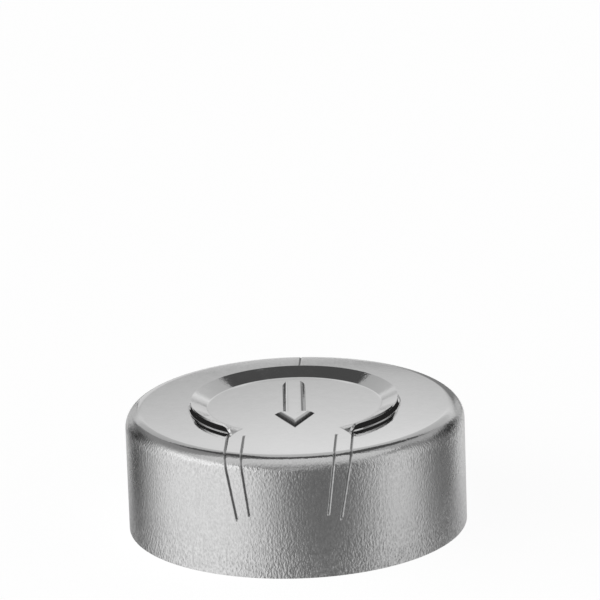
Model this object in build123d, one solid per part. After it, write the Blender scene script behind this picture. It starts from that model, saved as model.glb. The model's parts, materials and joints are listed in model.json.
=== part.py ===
from build123d import *
import os
from math import cos, degrees, radians, sin, sqrt

# Tear-off crimp cap for a stoppered bottle, drawn and pierced from one disc
# of aluminium sheet. Millimetres and degrees. The origin is the centre of the
# open edge, +Z points to the closed top, and the tear strip runs down -Y.

# Drawn cup
skirt_bore = 32.2
sheet = 0.25
cap_height = 11.8
corner_radius = 1.65

# Pull tab: a disc in the top, cut free by a C-shaped slit and dished upwards,
# so that a fingernail gets under its lip. A flat neck holds it at the front.
tab_flat_radius = 8.35
lip_reach = 1.8
lip_bend_radius = 0.3
lip_angle = 26.0
neck_half_angle = 33.0
ramp_angle = 9.0
# Stations along the ramp from the neck to the full lip, and the bend there
ramp_station_shares = (0.0, 0.4, 1.0)
ramp_bend_shares = (0.0, 0.74, 1.0)

# Arrow, pressed up out of the tab from below
arrow_end_gap = 1.55
arrow_shaft_width = 2.2
arrow_head_width = 3.9
arrow_head_length = 4.1
arrow_height = 0.5
arrow_flank = 0.4
arrow_tail_rounding = 0.7
arrow_turn = 3.0
# Rounding of the tail on the arrow's flat crown, as a share of that at its foot
crown_rounding_share = 0.5

# Score lines that guide the tear: two pairs on the top that run over the
# corner and close in on each other down the skirt, and one at the back
score_width = 0.2
score_depth = 0.1
outer_score_spacing = 11.88
outer_score_drop = 6.3
outer_score_end_spacing = 9.76
inner_score_spacing = 8.76
inner_score_drop = 5.8
inner_score_end_spacing = 7.4
inner_score_gap = 0.44
back_score_gap = 0.6
back_score_drop = 2.6

# Share of the corner's height at which the scores start to close in
score_kink_share = 0.3

# How far cutting shapes reach past the sheet
overrun = 1.0

skirt_radius = skirt_bore / 2 + sheet
slit_radius = tab_flat_radius + lip_reach
slit_start = neck_half_angle - 90
full_lip_start = slit_start + ramp_angle
arrow_length = 2 * (tab_flat_radius - arrow_end_gap)
inner_score_start = slit_radius * cos(radians(neck_half_angle)) + inner_score_gap
back_score_start = slit_radius + back_score_gap


def cup_profile(wall, lowest):
    """Half section of the drawn cup: a wall of the given thickness, inwards from the outside."""
    flat_radius = skirt_radius - corner_radius
    bend_height = cap_height - corner_radius
    outer_top = Line((0, cap_height), (flat_radius, cap_height))
    outer_bend = RadiusArc(outer_top @ 1, (skirt_radius, bend_height), corner_radius)
    skirt = Polyline(
        outer_bend @ 1,
        (skirt_radius, lowest),
        (skirt_radius - wall, lowest),
        (skirt_radius - wall, bend_height),
    )
    inner_bend = RadiusArc(skirt @ 1, (flat_radius, cap_height - wall), wall - corner_radius)
    inner_top = Polyline(inner_bend @ 1, (0, cap_height - wall), outer_top @ 0)
    return Plane.XZ * make_face([outer_top, outer_bend, skirt, inner_bend, inner_top])


def drawn_cup(wall, lowest):
    return revolve(cup_profile(wall, lowest), Axis.Z)


def on_circle(radius, azimuth):
    return (radius * cos(radians(azimuth)), radius * sin(radians(azimuth)))


def slit_window():
    """C-shaped piece of the top that the lip is bent out of, from neck to neck."""
    ramp_azimuths = [slit_start + share * ramp_angle for share in ramp_station_shares]
    right_foot = [on_circle(tab_flat_radius, azimuth) for azimuth in ramp_azimuths]
    left_foot = [(-x, y) for x, y in reversed(right_foot)]
    right_end = on_circle(slit_radius, slit_start)
    left_end = (-right_end[0], right_end[1])
    rim_edge = ThreePointArc(right_end, (0, slit_radius), left_end)
    left_side = Polyline(*reversed([*left_foot, left_end]))
    fold = ThreePointArc(left_foot[0], (0, tab_flat_radius), right_foot[-1])
    right_side = Polyline(*reversed([right_end, *right_foot]))
    plan = make_face([rim_edge, left_side, fold, right_side])
    return extrude(Pos(0, 0, cap_height + overrun) * plan, amount=-(sheet + 2 * overrun))


def lip_section(azimuth, bend_share):
    """Sheet section of the lip at one azimuth, bent up by a share of its full angle."""
    bend = radians(lip_angle) * bend_share
    under_radius = lip_bend_radius + sheet
    if bend_share:
        fold_length = lip_bend_radius * bend
        upper_fold = CenterArc((tab_flat_radius, lip_bend_radius), lip_bend_radius, -90, degrees(bend))
        lower_fold = CenterArc((tab_flat_radius, lip_bend_radius), under_radius, -90, degrees(bend))
    else:
        fold_length = lip_bend_radius * radians(lip_angle)
        fold_end = tab_flat_radius + fold_length
        upper_fold = Line((tab_flat_radius, 0), (fold_end, 0))
        lower_fold = Line((tab_flat_radius, -sheet), (fold_end, -sheet))
    slope = Vector(cos(bend), sin(bend)) * (lip_reach - fold_length)
    upper_slope = Line(upper_fold @ 1, upper_fold @ 1 + slope)
    lower_slope = Line(lower_fold @ 1, lower_fold @ 1 + slope)
    cut_edge = Line(upper_slope @ 1, lower_slope @ 1)
    foot = Line(lower_fold @ 0, upper_fold @ 0)
    section = make_face([upper_fold, upper_slope, cut_edge, lower_slope, lower_fold, foot])
    outwards = Vector(*on_circle(1, azimuth))
    plane = Plane((0, 0, cap_height), x_dir=outwards, z_dir=outwards.cross(Vector(0, 0, 1)))
    return plane * section


def lip():
    """Free edge of the tab: one cone round the back, with a ramp down to the neck at each end."""
    full_section = lip_section(full_lip_start, 1)
    cone = revolve(full_section, Axis.Z, revolution_arc=180 - 2 * full_lip_start)
    stations = [
        lip_section(slit_start + place * ramp_angle, bend)
        for place, bend in zip(ramp_station_shares, ramp_bend_shares)
    ]
    right_ramp = loft(stations, ruled=True)
    return cone + right_ramp + mirror(right_ramp, about=Plane.YZ)


def arrow_outline(inset, height, rounding_share):
    """Outline of the arrow, shrunk by inset, at a height above the tab."""
    tail = arrow_length / 2
    tip = -tail
    shoulder = tip + arrow_head_length
    side_slope = arrow_head_width / 2 / arrow_head_length
    shaft = arrow_shaft_width / 2 - inset
    side_shift = inset * sqrt(1 + side_slope**2)
    wing = (shoulder - inset - tip) * side_slope - side_shift
    right = [
        (shaft, tail - inset),
        (shaft, shoulder - inset),
        (wing, shoulder - inset),
    ]
    left = [(-x, y) for x, y in reversed(right)]
    outline = make_face(Polyline(*right, (0, tip + side_shift / side_slope), *left, close=True))
    tail_corners = outline.vertices().group_by(Axis.Y)[-1]
    outline = fillet(tail_corners, arrow_tail_rounding * rounding_share)
    return Pos(0, 0, cap_height + height) * Rot(0, 0, arrow_turn) * outline


def arrow():
    """Arrow block with sloped flanks; the same block, one sheet lower, is the punch mark inside."""
    foot = arrow_outline(0, 0, 1)
    crown = arrow_outline(arrow_flank, arrow_height, crown_rounding_share)
    return loft([foot, crown], ruled=True)


def strip_score(spacing, end_spacing, drop, start):
    """Blades for one pair of scores: straight over the top, closing in down the skirt."""
    top = spacing / 2
    end = end_spacing / 2
    half_width = score_width / 2
    kink = cap_height - corner_radius * score_kink_share
    lowest = cap_height - drop
    front_view = Polyline(
        (top - half_width, cap_height + overrun),
        (top + half_width, cap_height + overrun),
        (top + half_width, kink),
        (end + half_width, lowest),
        (end - half_width, lowest),
        (top - half_width, kink),
        close=True,
    )
    length = skirt_radius + overrun - start
    blade_end = Plane.XZ.offset(start) * make_face(front_view)
    blade = extrude(blade_end, amount=length, dir=-Axis.Y.direction)
    return blade + mirror(blade, about=Plane.YZ)


def back_score():
    length = skirt_radius + overrun - back_score_start
    height = back_score_drop + overrun
    corner = Pos(0, back_score_start, cap_height - back_score_drop)
    return corner * Box(score_width, length, height, align=(Align.CENTER, Align.MIN, Align.MIN))


def scores():
    """All score lines: the blades, kept only as deep as a score in the outer skin."""
    outer_half = outer_score_spacing / 2 - score_width / 2
    outer_score_start = sqrt(slit_radius**2 - outer_half**2) - score_width
    outer_pair = strip_score(
        outer_score_spacing, outer_score_end_spacing, outer_score_drop, outer_score_start
    )
    inner_pair = strip_score(
        inner_score_spacing, inner_score_end_spacing, inner_score_drop, inner_score_start
    )
    deepest = max(outer_score_drop, inner_score_drop, back_score_drop)
    skin = drawn_cup(score_depth, cap_height - deepest - score_depth)
    return skin & (outer_pair + inner_pair + back_score())


def tear_off_cap():
    cup = drawn_cup(sheet, 0)
    emboss = arrow()
    punch_mark = Pos(0, 0, -sheet) * emboss
    return cup - slit_window() - scores() + lip() + emboss - punch_mark


os.makedirs("parts", exist_ok=True)
export_step(tear_off_cap(), "parts/tear_off_cap.step")
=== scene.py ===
import json
from math import atan2, cos, degrees, hypot, radians, sin

import bmesh
import bpy
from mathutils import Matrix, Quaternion, Vector


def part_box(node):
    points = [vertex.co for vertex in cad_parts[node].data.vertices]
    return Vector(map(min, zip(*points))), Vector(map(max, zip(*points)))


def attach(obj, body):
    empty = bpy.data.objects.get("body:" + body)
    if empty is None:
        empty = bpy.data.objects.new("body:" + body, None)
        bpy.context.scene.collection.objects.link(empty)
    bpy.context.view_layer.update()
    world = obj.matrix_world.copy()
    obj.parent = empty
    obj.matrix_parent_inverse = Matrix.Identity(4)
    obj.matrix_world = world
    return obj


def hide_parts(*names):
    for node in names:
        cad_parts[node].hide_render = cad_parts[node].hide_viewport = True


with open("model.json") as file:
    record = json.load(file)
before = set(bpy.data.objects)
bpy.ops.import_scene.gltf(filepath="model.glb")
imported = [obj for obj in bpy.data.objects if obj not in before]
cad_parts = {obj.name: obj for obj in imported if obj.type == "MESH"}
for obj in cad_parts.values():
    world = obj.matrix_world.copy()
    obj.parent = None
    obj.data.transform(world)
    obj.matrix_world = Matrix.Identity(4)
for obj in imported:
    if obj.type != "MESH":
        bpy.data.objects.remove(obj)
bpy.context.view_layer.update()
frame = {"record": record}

# Drawn cup
# The cap starts as a disc of aluminium sheet that a press draws into a shallow cup.
# Its outer skin is made here, ring by ring in millimetres: skirt, corner and rim, with a
# narrow last ring for the burr that the slit leaves on the rim.
mm_per_metre = 1000
round_steps = 360
skirt_steps = 5
corner_steps = 12
corner_radius = 1.65
slit_radius = 10.15
burr = 0.1
mounts = {mount["name"]: mount for mount in frame["record"]["mounts"]}
skirt_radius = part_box("tear_off_cap")[1].x * mm_per_metre
sheet = skirt_radius - mounts["bottle_neck"]["dims"]["r_mm"]
cap_height = mounts["stopper_seat"]["pos_m"][2] * mm_per_metre + sheet
rim_radius = skirt_radius - corner_radius
bend_height = cap_height - corner_radius

bpy.ops.object.select_all(action="DESELECT")
bpy.ops.mesh.primitive_circle_add(vertices=round_steps, radius=skirt_radius)
cap = bpy.context.object
cap.name = "cap"
bpy.ops.object.mode_set(mode="EDIT")


def draw_rings(rings):
    """Extrudes the selected ring through (radius, height) pairs, of which the first is where it is."""
    for (radius, height), (next_radius, next_height) in zip(rings, rings[1:]):
        rise = (0, 0, next_height - height)
        bpy.ops.mesh.extrude_region_move(TRANSFORM_OT_translate={"value": rise})
        grow = next_radius / radius
        bpy.ops.transform.resize(value=(grow, grow, 1), center_override=(0, 0, 0))


skirt = [(skirt_radius, bend_height * step / skirt_steps) for step in range(skirt_steps + 1)]
turns = [radians(90 * step / corner_steps) for step in range(1, corner_steps + 1)]
corner = [
    (rim_radius + corner_radius * cos(turn), bend_height + corner_radius * sin(turn))
    for turn in turns
]
rim_radii = ((rim_radius + slit_radius) / 2, slit_radius + burr, slit_radius)
rim = [(radius, cap_height) for radius in rim_radii]
draw_rings(skirt + corner + rim)

# Pull tab
# A disc of the same sheet, cut free by a C-shaped slit and dished upwards, so that a
# fingernail gets under its lip. An uncut neck at the front holds it to the rim, and from
# there the lip rises over a short ramp, degree by degree.
tab_flat_radius = 8.35
tab_fill_radius = 8.25
lip_reach = slit_radius - tab_flat_radius
lip_bend_radius = 0.3
lip_angle = radians(26)
neck_half_angle = 33
ramp_angle = 9
ramp_ease = 2.6
burr_start_angle = neck_half_angle + 1.5
back_angle = 180
fold_length = lip_bend_radius * lip_angle
lip_places = [lip_reach, lip_reach / 2, fold_length, fold_length / 2]
tiny = 0.001


def pick(kind, test):
    """Selects the vertices, edges or faces of the open mesh that pass the test, and no others."""
    bpy.ops.mesh.select_mode(type=kind)
    bpy.ops.mesh.select_all(action="DESELECT")
    mesh = bmesh.from_edit_mesh(cap.data)
    for part in {"VERT": mesh.verts, "EDGE": mesh.edges, "FACE": mesh.faces}[kind]:
        if test(part):
            part.select_set(True)
    bmesh.update_edit_mesh(cap.data)


def from_axis(place):
    return hypot(place.x, place.y)


def from_front(place):
    """Degrees round from the front of the cap, to either side."""
    return degrees(atan2(abs(place.x), -place.y))


def middle(edge):
    return (edge.verts[0].co + edge.verts[1].co) / 2


def on_slit(edge):
    at_radius = all(abs(from_axis(vert.co) - slit_radius) < tiny for vert in edge.verts)
    return at_radius and from_front(middle(edge)) > neck_half_angle


def bent_place(flat_place, bend):
    """Radius and rise of a point of the lip, from its distance to the fold in the flat sheet."""
    turn = min(bend, flat_place / lip_bend_radius)
    slope = flat_place - lip_bend_radius * turn
    radius = tab_flat_radius + lip_bend_radius * sin(turn) + slope * cos(turn)
    return radius, lip_bend_radius * (1 - cos(turn)) + slope * sin(turn)


def bend_lip(first_angle, last_angle, bend):
    """Bends the lip up between two angles from the front, ring by ring."""
    for place in lip_places:
        flat_radius = tab_flat_radius + place
        radius, rise = bent_place(place, bend)
        grow = radius / flat_radius
        pick(
            "VERT",
            lambda vert: abs(from_axis(vert.co) - flat_radius) < tiny
            and first_angle - tiny < from_front(vert.co) < last_angle + tiny
            and all(from_axis(face.calc_center_median()) < slit_radius for face in vert.link_faces),
        )
        bpy.ops.transform.resize(value=(grow, grow, 1), center_override=(0, 0, 0))
        bpy.ops.transform.translate(value=(0, 0, rise))


lip_rings = [(tab_flat_radius + place, cap_height) for place in lip_places]
draw_rings(lip_rings + [(tab_flat_radius, cap_height), (tab_fill_radius, cap_height)])
pick("EDGE", on_slit)
bpy.ops.mesh.edge_split(type="EDGE")
for ramp_step in range(1, ramp_angle):
    bend_share = 1 - (1 - ramp_step / ramp_angle) ** ramp_ease
    bend_lip(neck_half_angle + ramp_step, neck_half_angle + ramp_step, lip_angle * bend_share)
bend_lip(neck_half_angle + ramp_angle, back_angle, lip_angle)
pick(
    "VERT",
    lambda vert: abs(from_axis(vert.co) - slit_radius) < tiny
    and abs(vert.co.z - cap_height) < tiny
    and from_front(vert.co) > burr_start_angle,
)
bpy.ops.transform.translate(value=(0, 0, burr))

# Arrow
# It shows which way to pull. A punch presses it up out of the tab from below, so its
# flanks rise from the tab and round off softly into the crown. Each flank step goes
# inwards and upwards by a pair of lengths.
arrow_end_gap = 1.55
arrow_shaft_width = 2.2
arrow_head_width = 3.9
arrow_head_length = 4.1
arrow_tail_rounding = 0.7
arrow_tail_steps = 6
arrow_edge_rounding = 0.06
arrow_edge_steps = 2
arrow_turn = Quaternion((0, 0, 1), radians(3))
flank_steps = [(0.2, 0.23), (0.14, 0.115), (0.08, 0.05), (0.06, 0.018), (0.1, 0.01)]
sharp_angle = radians(40)
tail = tab_flat_radius - arrow_end_gap
shoulder = arrow_head_length - tail
head_middle = shoulder - arrow_head_length / 2
shaft = arrow_shaft_width / 2
barb = arrow_head_width / 2
arrow_corners = [(-shaft, tail), (-shaft, shoulder), (-barb, shoulder), (0, -tail)]
arrow_corners += [(-x, y) for x, y in reversed(arrow_corners[:-1])]


def on_tab(place):
    return from_axis(place) < tab_fill_radius - tiny


bpy.ops.mesh.select_all(action="DESELECT")
bpy.ops.mesh.primitive_circle_add(
    vertices=len(arrow_corners), radius=tail, fill_type="NGON", location=(0, 0, cap_height)
)
starts = [vert.co.copy() for vert in bmesh.from_edit_mesh(cap.data).verts if vert.select]
for start, (x, y) in zip(starts, arrow_corners):
    pick("VERT", lambda vert: (vert.co - start).length < tiny)
    bpy.ops.transform.translate(value=arrow_turn @ Vector((x, y, cap_height)) - start)
pick("VERT", lambda vert: on_tab(vert.co) and vert.co.y > 0)
bpy.ops.mesh.bevel(offset=arrow_tail_rounding, segments=arrow_tail_steps, affect="VERTICES")
pick("FACE", lambda face: on_tab(face.calc_center_median()))
for inwards, upwards in flank_steps:
    bpy.ops.mesh.inset(thickness=inwards, depth=upwards)
pick(
    "EDGE",
    lambda edge: on_tab(middle(edge))
    and middle(edge).y > head_middle
    and edge.calc_face_angle(0) > sharp_angle,
)
bpy.ops.mesh.bevel(offset=arrow_edge_rounding, segments=arrow_edge_steps, affect="EDGES")
pick("EDGE", lambda edge: edge.is_boundary and from_axis(middle(edge)) < tab_flat_radius)
bpy.ops.mesh.fill()

# Sheet
# The skin gets the thickness of the sheet, inwards. The shears leave a slightly rounded
# edge along the slit and round the open foot of the skirt. One stroke cuts and bends the
# lip, so its cut edge stands upright and not square to the slope.
cut_edge_rounding = 0.03
cut_edge_steps = 2
cut_edge_angle = radians(60)
lip_radius = bent_place(lip_reach, lip_angle)[0]
lip_under_radius = lip_radius + sheet * sin(lip_angle)
upright_share = lip_radius / lip_under_radius

bpy.ops.mesh.select_all(action="SELECT")
bpy.ops.mesh.normals_make_consistent(inside=False)
bpy.ops.object.mode_set(mode="OBJECT")
thickness = cap.modifiers.new("sheet", "SOLIDIFY")
thickness.thickness = sheet
thickness.offset = -1
thickness.use_even_offset = True
bpy.ops.object.modifier_apply(modifier=thickness.name)
bpy.ops.object.mode_set(mode="EDIT")
pick(
    "VERT",
    lambda vert: from_axis(vert.co) > (lip_radius + lip_under_radius) / 2
    and vert.co.z > cap_height + burr + sheet,
)
bpy.ops.transform.resize(value=(upright_share, upright_share, 1), center_override=(0, 0, 0))
pick("EDGE", lambda edge: edge.calc_face_angle(0) > cut_edge_angle and not on_tab(middle(edge)))
bpy.ops.mesh.bevel(offset=cut_edge_rounding, segments=cut_edge_steps, affect="EDGES")
bpy.ops.mesh.select_all(action="SELECT")
bpy.ops.mesh.faces_shade_smooth()

# Score lines
# A blade scores the outer skin so that the strip tears where it should: two pairs run
# from the slit over the corner and close in down the skirt, and one is at the back. The
# sheet beside each groove keeps the smooth shading of the unscored sheet.
score_width = 0.28
score_depth = 0.09
score_margin = score_width * 3
run_out = 0.25
kink_share = 0.2
kink_height = cap_height - kink_share * corner_radius
row_shares = (-0.5, 0, 0.5)
outward_share = 0.5
share_digits = 2
smooth_angle = radians(16)
# Distance from the middle on the top and at the lower end, drop from the top, and distance
# from the axis to where the score starts
outer_score = {"top": 5.94, "end": 4.88, "drop": 6.3, "start": 7.9}
inner_score = {"top": 4.38, "end": 3.7, "drop": 5.8, "start": 8.95}
back_score = {"top": 0, "end": 0, "drop": 2.6, "start": 10.75}


def even_shading():
    """Smooth shading that keeps the sharp edges and lets the large faces stay even."""
    pick("EDGE", lambda edge: edge.calc_face_angle(0) > smooth_angle)
    bpy.ops.mesh.mark_sharp()
    bpy.ops.object.mode_set(mode="OBJECT")
    weighting = cap.modifiers.new("even shading", "WEIGHTED_NORMAL")
    weighting.keep_sharp = True
    bpy.ops.object.modifier_apply(modifier=weighting.name)


def bisect(point, normal, test):
    pick("FACE", test)
    bpy.ops.mesh.bisect(plane_co=point, plane_no=normal)


def score_line(score, side, way):
    """Cuts rows of edges along one score into the outer skin and marks how deep each goes."""
    top = score["top"] * side
    end = score["end"] * side
    lowest = cap_height - score["drop"]
    slant = Vector((end - top, 0, lowest - kink_height))
    slant_normal = Vector((slant.z, 0, -slant.x)).normalized()

    def beside(place):
        share = max(0, min(1, (kink_height - place.z) / (kink_height - lowest)))
        return place.x - top - (end - top) * share

    def near(place):
        begun = place.y * way > score["start"] - score_margin
        return abs(beside(place)) < score_margin and begun and place.z > lowest - score_margin

    def outer(face):
        place = face.calc_center_median()
        out = Vector((place.x, place.y, 0)).normalized() * max(0, from_axis(place) - rim_radius)
        out.z = max(0, place.z - bend_height)
        return near(place) and face.normal.dot(out) > outward_share * out.length

    def above_kink(face):
        return outer(face) and face.calc_center_median().z > kink_height

    def below_kink(face):
        return outer(face) and face.calc_center_median().z < kink_height

    def in_groove(face):
        place = face.calc_center_median()
        begun = place.z > lowest and place.y * way > score["start"]
        return outer(face) and begun and abs(beside(place)) < score_width / 2

    def depth_share(place):
        """Share of the full depth: 1 along the middle row, 0 along the edges and at the ends."""
        across = max(0, 1 - abs(beside(place)) / (score_width / 2))
        along = min(place.z - lowest, place.y * way - score["start"], run_out) / run_out
        return across * along

    for height in (kink_height, lowest, lowest + run_out):
        bisect((0, 0, height), (0, 0, 1), outer)
    for begin in (score["start"], score["start"] + run_out):
        bisect((0, begin * way, 0), (0, 1, 0), outer)
    for share in row_shares:
        point = (top + share * score_width, 0, kink_height)
        bisect(point, (1, 0, 0), above_kink)
        bisect(point, slant_normal, below_kink)
    pick("FACE", in_groove)
    bpy.ops.object.vertex_group_set_active(group="smooth_sheet")
    bpy.ops.object.vertex_group_remove_from()
    bpy.ops.object.vertex_group_set_active(group="grooves")
    shares = {}
    for vert in bmesh.from_edit_mesh(cap.data).verts:
        if vert.select:
            share = round(depth_share(vert.co), share_digits)
            shares.setdefault(share, set()).add(vert.index)
    for share, indices in shares.items():
        pick("VERT", lambda vert: vert.index in indices)
        bpy.context.tool_settings.vertex_group_weight = share
        bpy.ops.object.vertex_group_assign()
        bpy.ops.mesh.attribute_set(value_float=share)


even_shading()
bpy.ops.object.duplicate()
unscored = bpy.context.object
bpy.ops.object.select_all(action="DESELECT")
cap.select_set(True)
bpy.context.view_layer.objects.active = cap
cap.vertex_groups.new(name="grooves")
cap.vertex_groups.new(name="smooth_sheet")
bpy.ops.geometry.attribute_add(name="scored", domain="POINT", data_type="FLOAT")
bpy.ops.object.mode_set(mode="EDIT")
pick("VERT", lambda vert: from_axis(vert.co) > slit_radius + 2 * burr and vert.co.z > sheet)
bpy.ops.object.vertex_group_set_active(group="smooth_sheet")
bpy.ops.object.vertex_group_assign()
for side in (-1, 1):
    score_line(outer_score, side, -1)
    score_line(inner_score, side, -1)
score_line(back_score, 1, 1)
bpy.ops.object.mode_set(mode="OBJECT")
blade = cap.modifiers.new("grooves", "DISPLACE")
blade.vertex_group = "grooves"
blade.mid_level = 0
blade.strength = -score_depth
bpy.ops.object.modifier_apply(modifier=blade.name)
bpy.ops.object.mode_set(mode="EDIT")
even_shading()
smooth_sheet = cap.modifiers.new("smooth sheet", "DATA_TRANSFER")
smooth_sheet.object = unscored
smooth_sheet.use_loop_data = True
smooth_sheet.data_types_loops = {"CUSTOM_NORMAL"}
smooth_sheet.loop_mapping = "POLYINTERP_NEAREST"
smooth_sheet.vertex_group = "smooth_sheet"
bpy.ops.object.modifier_apply(modifier=smooth_sheet.name)
bpy.data.objects.remove(unscored)
cap.vertex_groups.clear()
cap.scale = [1 / mm_per_metre] * 3
bpy.ops.object.transform_apply(location=False, rotation=False, scale=True)

# Satin aluminium
# Bare bright sheet, still smooth on the top. Drawing has stretched the skirt to a satin
# finish, with a fine grain that is pulled slightly downwards. Soft mottling lies over
# it all, and the score lines are duller, with painted shade darkening their colour.
brightness = 0.85
grain_scale = (5400, 5400, 3200)
grain_detail = 1.0
grain_contrast = 0.6
grain_depth = 0.00005
mottle_scale = (1100, 1100, 700)
mottle_detail = 2.0
mottle_contrast = 0.06
mottle_roughness = 0.06
# Painted shade in the score grooves, as a share taken off the colour
score_painted_shade = 0.75
score_roughness = 0.2
noise_mean = 0.5
lip_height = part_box("tear_off_cap")[1].z * mm_per_metre
# Pairs of height in millimetres and level
grain_by_height = [
    (0.02, 1.5),
    (2.5, 1.0),
    (6.0, 0.55),
    (9.0, 0.6),
    (10.6, 0.9),
    (11.7, 0.12),
    (11.79, 0.05),
    (11.9, 0.06),
    (12.5, 0.12),
]
roughness_by_height = [
    (0.02, 0.34),
    (10.2, 0.23),
    (11.2, 0.2),
    (11.7, 0.11),
    (11.79, 0.06),
    (12.5, 0.07),
]
metal = bpy.data.materials.new("satin_aluminium")
cap.data.materials.append(metal)
metal.use_nodes = True
metal_tree = metal.node_tree
bsdf = metal_tree.nodes["Principled BSDF"]
bsdf.inputs["Metallic"].default_value = 1.0


def add_node(tree, kind, inputs=(), **settings):
    """Adds a node with its settings and its inputs: a socket is linked, a value is set."""
    node = tree.nodes.new(kind)
    for name, value in settings.items():
        setattr(node, name, value)
    for name, value in dict(inputs).items():
        if isinstance(value, bpy.types.NodeSocket):
            tree.links.new(value, node.inputs[name])
        else:
            node.inputs[name].default_value = value
    return node


def calculate(tree, operation, *values):
    """Result of a Math node, of which each input is a socket or a number."""
    return add_node(tree, "ShaderNodeMath", enumerate(values), operation=operation).outputs["Value"]


def grey_ramp(tree, place, stops):
    """Grey levels over a place that runs from 0 to 1, given as (place, level) pairs."""
    ramp = add_node(tree, "ShaderNodeValToRGB", {"Fac": place})
    elements = ramp.color_ramp.elements
    elements[0].position = stops[0][0]
    elements[1].position = stops[-1][0]
    for stop_place, _ in stops[1:-1]:
        elements.new(stop_place)
    for element, (_, level) in zip(elements, stops):
        element.color = (level, level, level, 1)
    return ramp.outputs["Color"]


def over_height(stops):
    shares = [(height / lip_height, level) for height, level in stops]
    return grey_ramp(metal_tree, height_share, shares)


def noise(scale, detail):
    """Noise round 0, with a scale for each direction."""
    stretched = add_node(metal_tree, "ShaderNodeMapping", {"Vector": coordinates, "Scale": scale})
    inputs = {"Vector": stretched.outputs["Vector"], "Scale": 1.0, "Detail": detail}
    pattern = add_node(metal_tree, "ShaderNodeTexNoise", inputs).outputs["Fac"]
    return calculate(metal_tree, "SUBTRACT", pattern, noise_mean)


def add_share(whole, part, share):
    return calculate(metal_tree, "ADD", whole, calculate(metal_tree, "MULTIPLY", part, share))


coordinates = add_node(metal_tree, "ShaderNodeTexCoord").outputs["Object"]
heights = add_node(metal_tree, "ShaderNodeSeparateXYZ", {"Vector": coordinates}).outputs["Z"]
height_share = calculate(metal_tree, "MULTIPLY", heights, mm_per_metre / lip_height)
scored = add_node(metal_tree, "ShaderNodeAttribute", attribute_name="scored").outputs["Fac"]
even_grain = noise(grain_scale, grain_detail)
grain = calculate(metal_tree, "MULTIPLY", even_grain, over_height(grain_by_height))
mottle = noise(mottle_scale, mottle_detail)
mottled = add_share(brightness, mottle, mottle_contrast)
grained = add_share(mottled, grain, grain_contrast)
# Painted shade darkens the colour in the score grooves; their added roughness is real dullness.
groove_painted_shade = add_share(1.0, scored, -score_painted_shade)
level = calculate(metal_tree, "MULTIPLY", grained, groove_painted_shade)
channels = {"Red": level, "Green": level, "Blue": level}
uneven_roughness = add_share(over_height(roughness_by_height), mottle, mottle_roughness)
relief = {"Height": grain, "Strength": 1.0, "Distance": grain_depth}
finish = {
    "Base Color": add_node(metal_tree, "ShaderNodeCombineColor", channels).outputs["Color"],
    "Roughness": add_share(uneven_roughness, scored, score_roughness),
    "Normal": add_node(metal_tree, "ShaderNodeBump", relief).outputs["Normal"],
}
for name, socket in finish.items():
    metal_tree.links.new(socket, bsdf.inputs[name])
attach(cap, "root")
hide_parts("tear_off_cap")

# Floor
# A plain white sweep of paper that glows softly, and under the cap a dark disc of painted
# shade, since no light gets in there; its faint glow is painted light for the dim inside of
# the cap. The metal doesn't mirror the sweep.
floor_size = 4
paper_grey = 0.3
paper_glow = 0.9
shade_steps = 64
shade_radius = (skirt_radius - sheet / 2) / mm_per_metre
shade_lift = 0.00002
shade_grey = 0.02
# Painted light: the shade disc glows faintly for the dim inside of the cap.
shade_painted_glow = 0.02
bpy.ops.object.select_all(action="DESELECT")
bpy.ops.mesh.primitive_plane_add(size=floor_size)
floor = bpy.context.object
floor.name = "floor"
floor.visible_glossy = False
bpy.ops.mesh.primitive_circle_add(
    vertices=shade_steps, radius=shade_radius, fill_type="NGON", location=(0, 0, shade_lift)
)
shade_disc = bpy.context.object
shade_disc.name = "shade_under_cap"


def plain_material(name, grey, glow):
    material = bpy.data.materials.new(name)
    material.use_nodes = True
    shader = material.node_tree.nodes["Principled BSDF"]
    shader.inputs["Base Color"].default_value = (grey, grey, grey, 1)
    shader.inputs["Roughness"].default_value = 1.0
    shader.inputs["Specular IOR Level"].default_value = 0.0
    shader.inputs["Emission Color"].default_value = (1, 1, 1, 1)
    shader.inputs["Emission Strength"].default_value = glow
    return material


floor.data.materials.append(plain_material("white_paper", paper_grey, paper_glow))
shade_disc.data.materials.append(plain_material("shade", shade_grey, shade_painted_glow))

# Backdrop card and softbox
# Glowing boards that only the metal mirrors, in millimetres as the camera sees them. Behind
# the cap stand a card, a taller strip, a low reflector, two wings and a dark flag, which is
# the dark band in the lip. A softbox hangs overhead, and a soft board stands in front.
camera_azimuth = radians(3.1)
card_depth = 70
reflector_depth = card_depth - 1
flag_depth = card_depth + 1
fill_depth = -280
wing_level = 0.5
wing_top = 29
softbox_height = 200
softbox_half_width = 180
softbox_front = -430
softbox_back = 30


def even(level):
    return [(0, level), (1, level)]


def upright(depth, left, right, bottom, left_top, right_top):
    """Corners of an upright board, of which the top edge may slope."""
    bottom_corners = [(left, depth, bottom), (right, depth, bottom)]
    return bottom_corners + [(left, depth, left_top), (right, depth, right_top)]


def studio_board(name, corners, upwards, across):
    """A glowing board, with its brightness upwards and across it as (place, level) pairs."""
    bpy.ops.mesh.primitive_plane_add()
    board = bpy.context.object
    board.name = name
    turn = Quaternion((0, 0, 1), camera_azimuth)
    for vert, corner in zip(board.data.vertices, corners):
        vert.co = turn @ Vector(corner) / mm_per_metre
    board.visible_camera = False
    board.visible_diffuse = False
    board.visible_shadow = False
    material = bpy.data.materials.new(name)
    material.use_nodes = True
    tree = material.node_tree
    tree.nodes.clear()
    place = add_node(tree, "ShaderNodeTexCoord").outputs["UV"]
    split = add_node(tree, "ShaderNodeSeparateXYZ", {"Vector": place}).outputs
    levels = {
        "Color": grey_ramp(tree, split["Y"], upwards),
        "Strength": grey_ramp(tree, split["X"], across),
    }
    glow = add_node(tree, "ShaderNodeEmission", levels).outputs["Emission"]
    add_node(tree, "ShaderNodeOutputMaterial", {"Surface": glow})
    board.data.materials.append(material)


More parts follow.
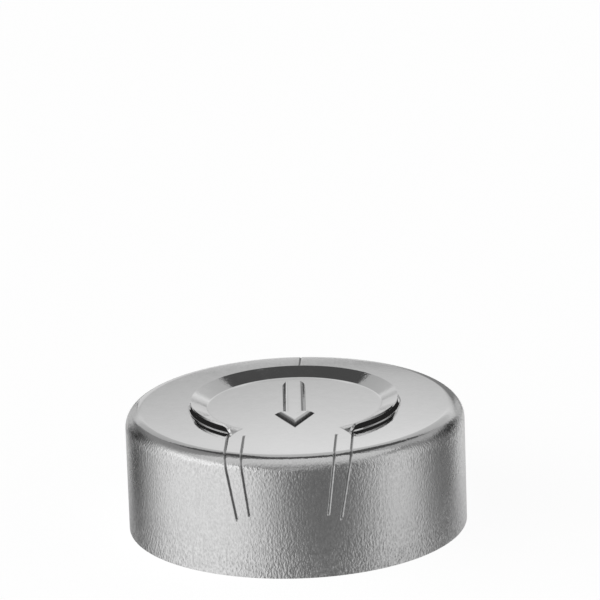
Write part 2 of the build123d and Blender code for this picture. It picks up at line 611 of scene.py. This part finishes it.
studio_board(
    "backdrop_card",
    upright(card_depth, left=-48, right=68, bottom=0, left_top=82, right_top=92),
    upwards=[(0, 0), (0.29, 0.03), (0.34, 0.53), (0.45, 0.82), (0.52, 0.57), (1, 0.5)],
    across=[(0, 0.78), (0.27, 0.85), (0.4, 1), (0.52, 1), (0.64, 0.9), (1, 0.85)],
)
studio_board(
    "upper_card",
    upright(card_depth, left=-14, right=22, bottom=85, left_top=145, right_top=145),
    upwards=even(0.48),
    across=even(1),
)
studio_board(
    "reflector",
    upright(reflector_depth, left=-28, right=45, bottom=4, left_top=30.5, right_top=27),
    upwards=[(0, 0.74), (1, 0.62)],
    across=[(0, 1), (0.5, 1), (0.62, 0.35), (0.82, 0.3), (0.9, 0.75), (1, 0.75)],
)
studio_board(
    "flag",
    upright(flag_depth, left=-50, right=74, bottom=78, left_top=420, right_top=420),
    upwards=even(0.07),
    across=even(1),
)
for name, left, right in (("left_wing", -58, -29), ("right_wing", 46, 70)):
    studio_board(
        name,
        upright(reflector_depth, left, right, bottom=0, left_top=wing_top, right_top=wing_top),
        upwards=even(wing_level),
        across=even(1),
    )
studio_board(
    "softbox",
    [
        (-softbox_half_width, softbox_front, softbox_height),
        (softbox_half_width, softbox_front, softbox_height),
        (-softbox_half_width, softbox_back, softbox_height),
        (softbox_half_width, softbox_back, softbox_height),
    ],
    upwards=[(0, 0), (0.46, 0.26), (0.75, 0.56), (1, 0.62)],
    across=even(1),
)
studio_board(
    "front_fill",
    upright(fill_depth, left=-80, right=80, bottom=98, left_top=194, right_top=194),
    upwards=[(0, 0.15), (0.4, 0.4), (1, 0.5)],
    across=even(1),
)

# Light tent
# Dim cloth all round the cap, with soft white walls: a wide one on the left, a narrow one
# on the right, one low behind the cap and three high up. Three dark gaps behind the cap
# give its sides their shade. The camera itself sees plain pale cloth.
cloth_level = 0.18
half_turn = 180
world = bpy.data.worlds.new("light_tent")
bpy.context.scene.world = world
world.use_nodes = True
tent = world.node_tree
tent.nodes.clear()
way = add_node(tent, "ShaderNodeTexCoord").outputs["Generated"]
turning = {"Vector": way, "Angle": -camera_azimuth}
turned = add_node(tent, "ShaderNodeVectorRotate", turning, rotation_type="Z_AXIS").outputs["Vector"]
to_right, to_back, to_top = add_node(tent, "ShaderNodeSeparateXYZ", {"Vector": turned}).outputs
to_front = calculate(tent, "MULTIPLY", to_back, -1)
azimuth = calculate(tent, "DEGREES", calculate(tent, "ARCTAN2", to_right, to_front))
elevation = calculate(tent, "DEGREES", calculate(tent, "ARCSINE", to_top))


def fade(value, start, stop):
    """0 up to start and 1 from stop on, or 1 up to stop and 0 from start on if stop is lower."""
    inputs = {
        "Value": value,
        "From Min": min(start, stop),
        "From Max": max(start, stop),
        "To Min": 0 if start < stop else 1,
        "To Max": 1 if start < stop else 0,
    }
    return add_node(
        tent, "ShaderNodeMapRange", inputs, interpolation_type="SMOOTHSTEP"
    ).outputs["Result"]


def wall(middle_azimuth, half_width, side_fade, bottom, top, end_fade, level):
    """Light of an upright wall with soft edges, in degrees round from the front and up."""
    off = calculate(tent, "SUBTRACT", azimuth, middle_azimuth)
    away = calculate(tent, "ABSOLUTE", calculate(tent, "WRAP", off, half_turn, -half_turn))
    across = fade(away, half_width + side_fade, half_width)
    over = fade(elevation, bottom - end_fade, bottom)
    under = fade(elevation, top + end_fade, top)
    between = calculate(tent, "MULTIPLY", over, under)
    return calculate(tent, "MULTIPLY", calculate(tent, "MULTIPLY", across, between), level)


# Middle, half width and fade of the sides, bottom, top and fade of the ends, and level,
# which is below 0 where a gap takes light away
walls = {
    "left": (-66, 24, 46, -90, 30, 20, 0.8),
    "right": (72, 2, 38, -90, 30, 20, 0.6),
    "high_left": (-65, 30, 35, 25, 55, 10, 0.3),
    "high_right_behind": (130, 12, 15, 32, 60, 8, 0.28),
    "low_behind": (173, 30, 10, -90, 0, 8, 0.65),
    "high_left_behind": (-138, 14, 12, 32, 62, 8, 0.12),
    "low_left_gap": (-146, 7, 8, -60, 0, 6, -0.14),
    "left_gap": (-131, 8, 8, 1, 22, 3, -0.15),
    "right_gap": (132, 8, 8, 1, 22, 3, -0.15),
}
light = cloth_level
for sizes in walls.values():
    light = calculate(tent, "ADD", wall(*sizes), light)
tent_light = add_node(tent, "ShaderNodeBackground", {"Strength": light}).outputs["Background"]
pale_cloth = add_node(tent, "ShaderNodeBackground").outputs["Background"]
seen = add_node(tent, "ShaderNodeLightPath").outputs["Is Camera Ray"]
mixed = add_node(tent, "ShaderNodeMixShader", enumerate((seen, tent_light, pale_cloth)))
add_node(tent, "ShaderNodeOutputWorld", {"Surface": mixed.outputs["Shader"]})
bpy.context.scene.view_settings.view_transform = "Standard"

# Camera
# A long lens, a little above the cap and a little to the right of its front. The cap
# lies low in the square picture, so the lens aims above it.
picture = 600
sensor = 36
focal_pixels = 5236
distance = 507
camera_elevation = radians(19.25)
roll = radians(1.98)
aim_height = 3.27
aim_pixel = (297.25, 488.4)
farthest_metres = 10
outwards = Vector((
    sin(camera_azimuth) * cos(camera_elevation),
    -cos(camera_azimuth) * cos(camera_elevation),
    sin(camera_elevation),
))
standpoint = Vector((0, 0, aim_height)) + outwards * distance
bpy.ops.object.camera_add(location=standpoint / mm_per_metre)
camera = bpy.context.object
camera.data.sensor_width = sensor
camera.data.lens = focal_pixels / picture * sensor
camera.data.clip_end = farthest_metres
to_cap = Vector((aim_pixel[0] - picture / 2, picture / 2 - aim_pixel[1], -focal_pixels))
aside = to_cap.rotation_difference(Vector((0, 0, -1)))
facing_cap = (-outwards).to_track_quat("-Z", "Y")
camera.rotation_mode = "QUATERNION"
camera.rotation_quaternion = facing_cap @ Quaternion((0, 0, 1), -roll) @ aside
bpy.context.scene.camera = camera
